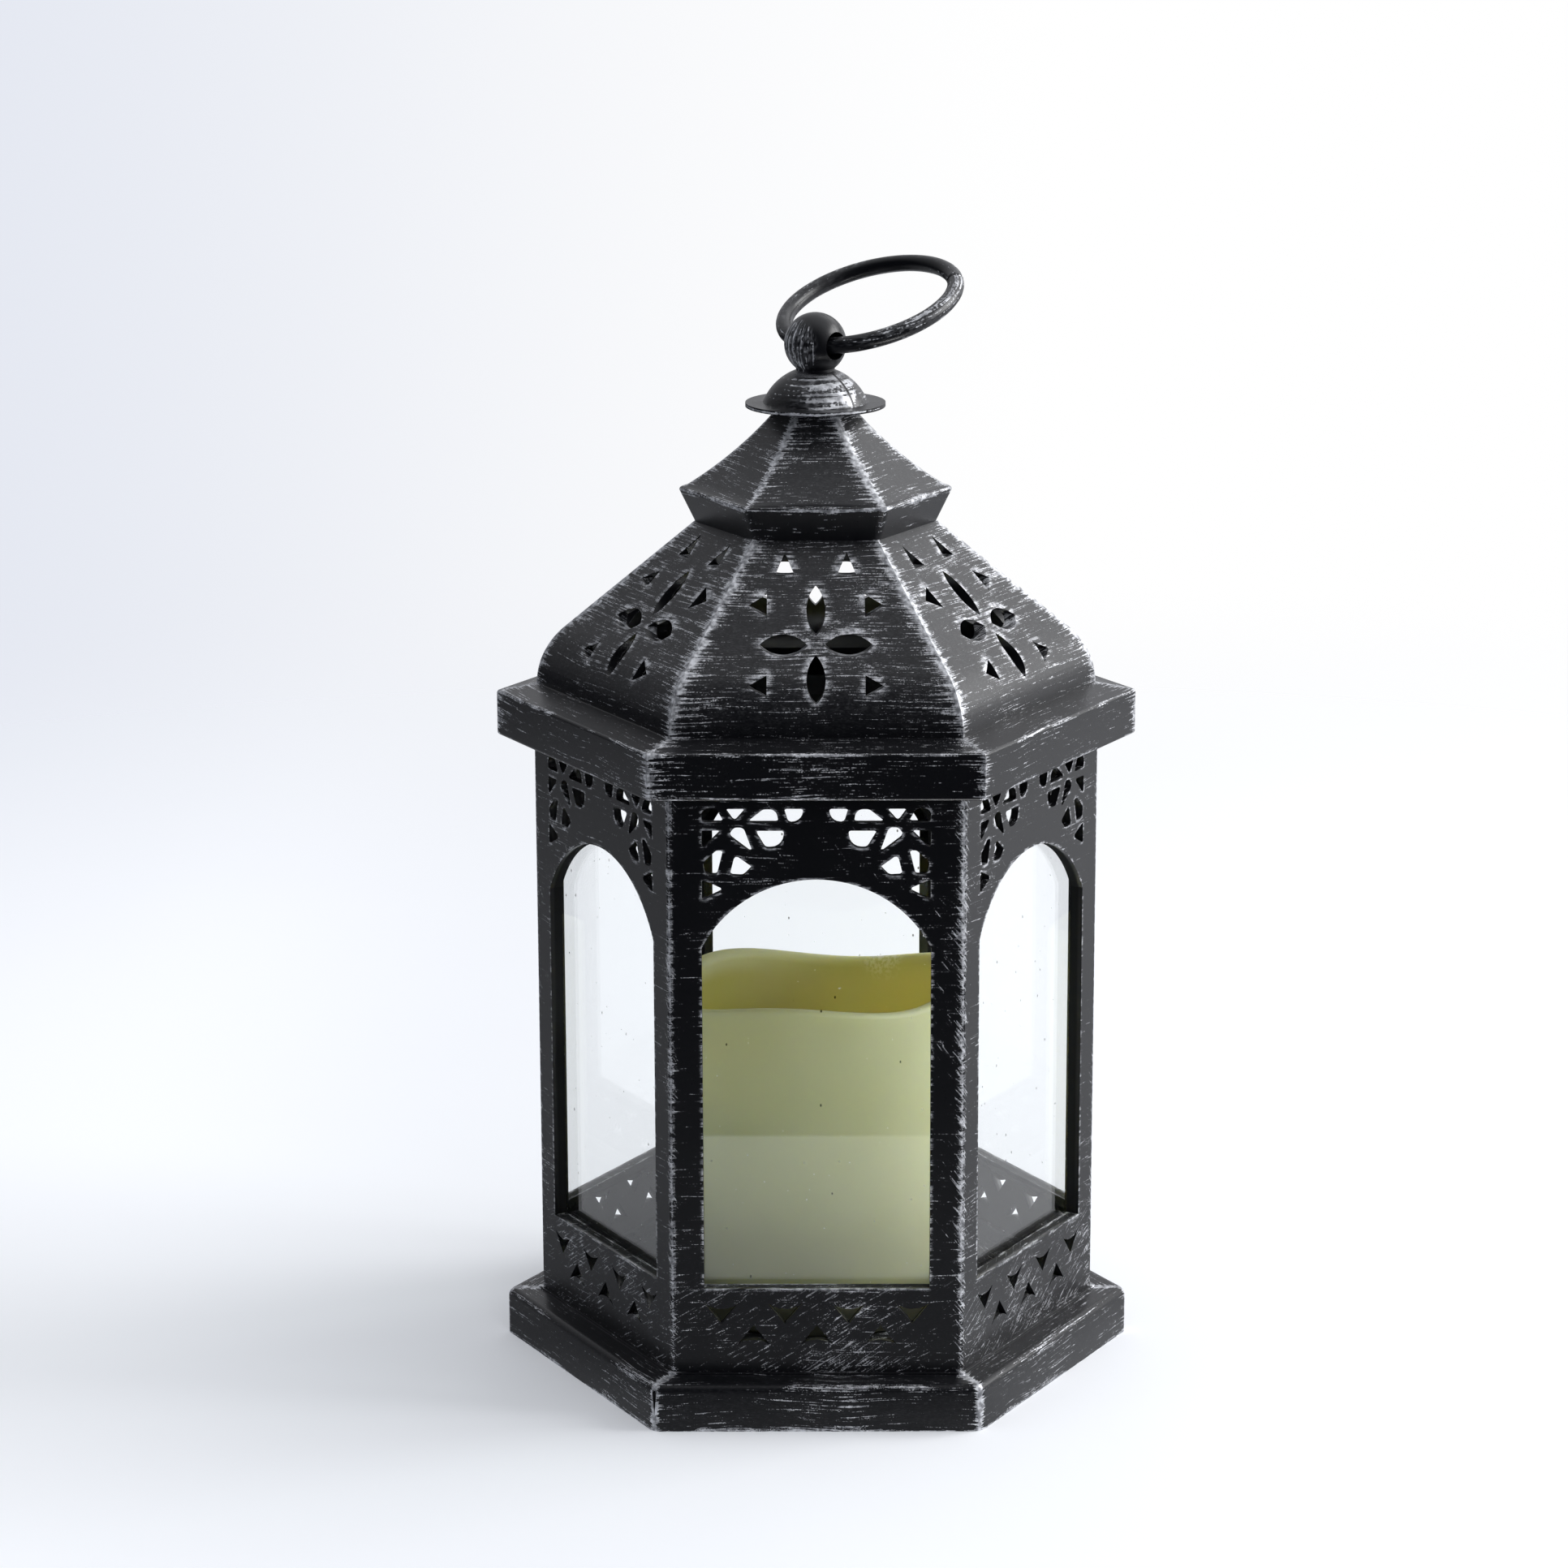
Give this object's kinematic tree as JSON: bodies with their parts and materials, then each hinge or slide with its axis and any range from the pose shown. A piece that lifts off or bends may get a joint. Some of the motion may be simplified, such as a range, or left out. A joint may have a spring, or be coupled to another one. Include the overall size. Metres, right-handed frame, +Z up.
{
  "type": "hexagonal lantern",
  "caption": "Hexagonal table lantern with arched clear windows, a pierced roof, a swinging ring handle and an electric pillar candle inside.",
  "frame": {"origin": "middle of the base, on the surface that the lantern stands on", "axes": "+Z up, -Y out of the front face towards the viewer of the picture, +X to the right of the front face"},
  "size_m": [0.1604, 0.1392, 0.276],
  "materials": {
    "painted_shell": "black paint dry-brushed with silver",
    "clear_pane": "clear, glossy, a little dusty",
    "candle_wax": "ivory wax, satin",
    "dark_moulding": "fine satin moulding",
    "bare_steel": "zinc plated",
    "battery_sleeve": "printed sleeve, plain",
    "switch_grey": "satin",
    "knob_white": "satin",
    "board_green": "lacquered circuit board",
    "lamp_lens": "clear warm lens",
    "lead_red": "insulated wire"
  },
  "bodies": {
    "lantern": {"base_plinth": "painted_shell", "side_panel_front": "painted_shell", "side_panel_right_front": "painted_shell", "side_panel_right_back": "painted_shell", "side_panel_back": "painted_shell", "side_panel_left_back": "painted_shell", "side_panel_left_front": "painted_shell", "roof_panel_front": "painted_shell", "roof_panel_right_front": "painted_shell", "roof_panel_right_back": "painted_shell", "roof_panel_back": "painted_shell", "roof_panel_left_back": "painted_shell", "roof_panel_left_front": "painted_shell", "roof_cap": "painted_shell", "finial_front_half": "painted_shell", "finial_back_half": "painted_shell", "window_pane_front": "clear_pane", "window_pane_right_front": "clear_pane", "window_pane_right_back": "clear_pane", "window_pane_back": "clear_pane", "window_pane_left_back": "clear_pane", "window_pane_left_front": "clear_pane", "candle_shell": "candle_wax", "battery_housing": "dark_moulding", "lamp_post": "dark_moulding", "finial_screw": "bare_steel", "finial_washer": "bare_steel", "battery_springs": "bare_steel", "battery_contacts": "bare_steel", "housing_screws": "bare_steel", "battery_first": "battery_sleeve", "battery_second": "battery_sleeve", "switch_body": "switch_grey", "timer_board": "board_green", "lamp": "lamp_lens", "lamp_leads": "lead_red", "battery_leads": "lead_red", "switch_leads": "lead_red"},
    "ring": {"ring_handle": "painted_shell"},
    "cover": {"battery_cover": "dark_moulding"},
    "knob": {"switch_knob": "knob_white"}
  },
  "joints": [
    {"name": "ring_swing", "type": "hinge", "parent": "lantern", "child": "ring", "pos_m": [0, 0, 0.25825], "axis": [0.7314, -0.682, 0], "range_deg": [-67.7, 205.3]},
    {"name": "cover_slide", "type": "slide", "parent": "lantern", "child": "cover", "axis": [1, 0, 0], "range_m": [0, 0.012]},
    {"name": "switch_slide", "type": "slide", "parent": "lantern", "child": "knob", "axis": [1, 0, 0], "range_m": [0, 0.002]}
  ]
}
